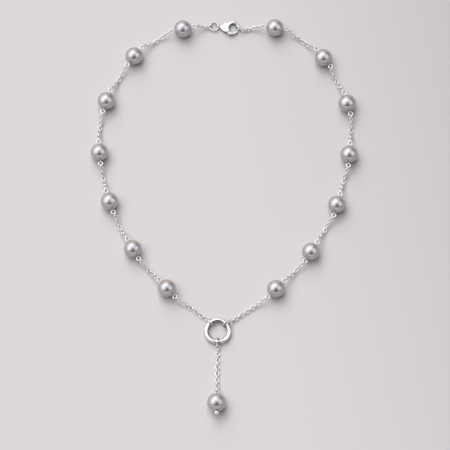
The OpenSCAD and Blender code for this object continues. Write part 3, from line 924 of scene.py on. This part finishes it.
def panel(centre, up, half_u, half_v, soft_u, soft_v):
    """1 where a direction meets a soft-edged panel, seen from the middle of the table."""
    c = Vector(centre).normalized()
    u = c.cross(Vector(up)).normalized()
    v = u.cross(c).normalized()
    dc = m.math("MAXIMUM", m.vec("DOT_PRODUCT", way, tuple(c)), 0.02)
    a = m.math("ABSOLUTE", m.math("DIVIDE", m.vec("DOT_PRODUCT", way, tuple(u)), dc))
    b = m.math("ABSOLUTE", m.math("DIVIDE", m.vec("DOT_PRODUCT", way, tuple(v)), dc))
    ma = m.math("SUBTRACT", 1.0, m.ramp01(a, half_u - soft_u, half_u + soft_u))
    mb = m.math("SUBTRACT", 1.0, m.ramp01(b, half_v - soft_v, half_v + soft_v))
    return m.math("MULTIPLY", ma, mb)


def glow(centre, inner, outer):
    """1 near a direction, 0 beyond the outer angle (degrees)."""
    d = m.vec("DOT_PRODUCT", way, tuple(Vector(centre).normalized()))
    return m.ramp01(d, math.cos(math.radians(outer)), math.cos(math.radians(inner)))


# a broad soft room, brighter at the back and left
room = m.math("ADD", 0.60, m.math("MULTIPLY", glow((-0.68, 0.48, 0.55), 15, 85), 0.68))
room = m.math("SUBTRACT", room, m.math("MULTIPLY", glow((0.74, 0.66, 0.10), 8, 40), 0.38))
room = m.math("ADD", room, m.math("MULTIPLY", panel((0, -0.95, 0.31), (0, 0, 1), 0.75, 0.14, 0.3, 0.08), 0.65))
# two soft boxes at the upper left, a scrim over the top and a reflector at the right
boxes = m.math("MULTIPLY", panel((-0.33, 0.55, 0.77), (0, 0, 1), 0.30, 0.28, 0.12, 0.12), 1.42)
boxes = m.math("ADD", boxes, m.math("MULTIPLY", panel((-0.74, 0.05, 0.67), (0, 0, 1), 0.40, 0.34, 0.16, 0.16), 1.16))
boxes = m.math("ADD", boxes, m.math("MULTIPLY", glow((0.02, 0.36, 0.93), 6, 34), 0.50))
boxes = m.math("ADD", boxes, m.math("MULTIPLY", glow((0.70, -0.04, 0.71), 8, 32), 1.0))
# the dark gap where the camera stands: narrow overhead, wider toward the front
w = m.node("ShaderNodeSeparateXYZ")
m.put(w.inputs[0], way)
up = m.math("MAXIMUM", w.outputs["Z"], 0.05)
gx = m.math("ABSOLUTE", m.math("DIVIDE", w.outputs["X"], up))
gq = m.math("DIVIDE", m.math("MULTIPLY", w.outputs["Y"], -1.0), up)
room_in = m.math("SUBTRACT", m.math("MULTIPLY", gq, 0.64), gx)
soft = m.math("ADD", 0.10, m.math("MULTIPLY", m.math("MAXIMUM", gq, 0.0), 0.10))
gap = m.math("MULTIPLY_ADD", m.math("DIVIDE", room_in, soft), 0.5, 0.5, clamp=True)
gap = m.math("MULTIPLY", gap, m.math("SUBTRACT", 1.0, m.ramp01(gq, 1.35, 1.95)))
total = m.math("ADD", room, boxes)
total = m.math("MULTIPLY", total, m.math("SUBTRACT", 1.0, m.math("MULTIPLY", gap, 0.92)))
seen = m.node("ShaderNodeLightPath").outputs["Is Camera Ray"]
tint = m.mix(m.ramp01(total, 0.1, 1.5), (1.0, 0.93, 0.89, 1), (0.96, 0.985, 1.035, 1))
tint = m.mix(glow((0.77, 0.55, 0.30), 10, 40), tint, (0.92, 0.95, 1.18, 1))
lamp = m.node("ShaderNodeBackground")
m.put(lamp.inputs["Color"], tint)
m.put(lamp.inputs["Strength"], total)
plain = m.node("ShaderNodeBackground")
plain.inputs["Color"].default_value = (0.69, 0.68, 0.675, 1)
plain.inputs["Strength"].default_value = 1.0
both = m.node("ShaderNodeMixShader")
m.put(both.inputs[0], seen)
m.put(both.inputs[1], lamp.outputs[0])
m.put(both.inputs[2], plain.outputs[0])
out = m.node("ShaderNodeOutputWorld")
m.put(out.inputs["Surface"], both.outputs[0])

# soft boxes for matt surfaces: the room above is what gloss and polish reflect
world.cycles_visibility.diffuse = False


def soft_box(name, az, tilt, spread, strength, colour):
    """Light from the compass angle az, tilt degrees off the zenith, spread degrees wide."""
    lamp = bpy.data.lights.new(name, "SUN")
    lamp.angle = math.radians(spread)
    lamp.energy = strength
    lamp.color = colour
    obj = bpy.data.objects.new(name, lamp)
    obj.rotation_euler = (math.radians(tilt), 0, math.radians(az + 90))
    obj.visible_glossy = False
    bpy.context.scene.collection.objects.link(obj)


soft_box("top_box", 150, 17, 64, 2.4, (1.0, 0.99, 0.985))
soft_box("back_box", 107, 47, 47, 1.45, (1.0, 0.99, 0.985))
soft_box("ceiling", 90, 10, 160, 0.41, (1.0, 0.99, 0.985))

scene = bpy.context.scene
scene.view_settings.view_transform = "Standard"
scene.view_settings.look = "None"
scene.view_settings.exposure = 0.0
scene.view_settings.gamma = 1.0

cam_data = bpy.data.cameras.new("camera")
cam_data.lens = 240
cam_data.sensor_width = 36
cam_data.clip_start = 0.05
cam = bpy.data.objects.new("camera", cam_data)
scene.collection.objects.link(cam)
elev, away = math.radians(72), 1.413
cam.location = (0.0003, -0.0048 - away * math.cos(elev), away * math.sin(elev))
cam.rotation_euler = (math.radians(90) - elev, 0, 0)
scene.camera = cam
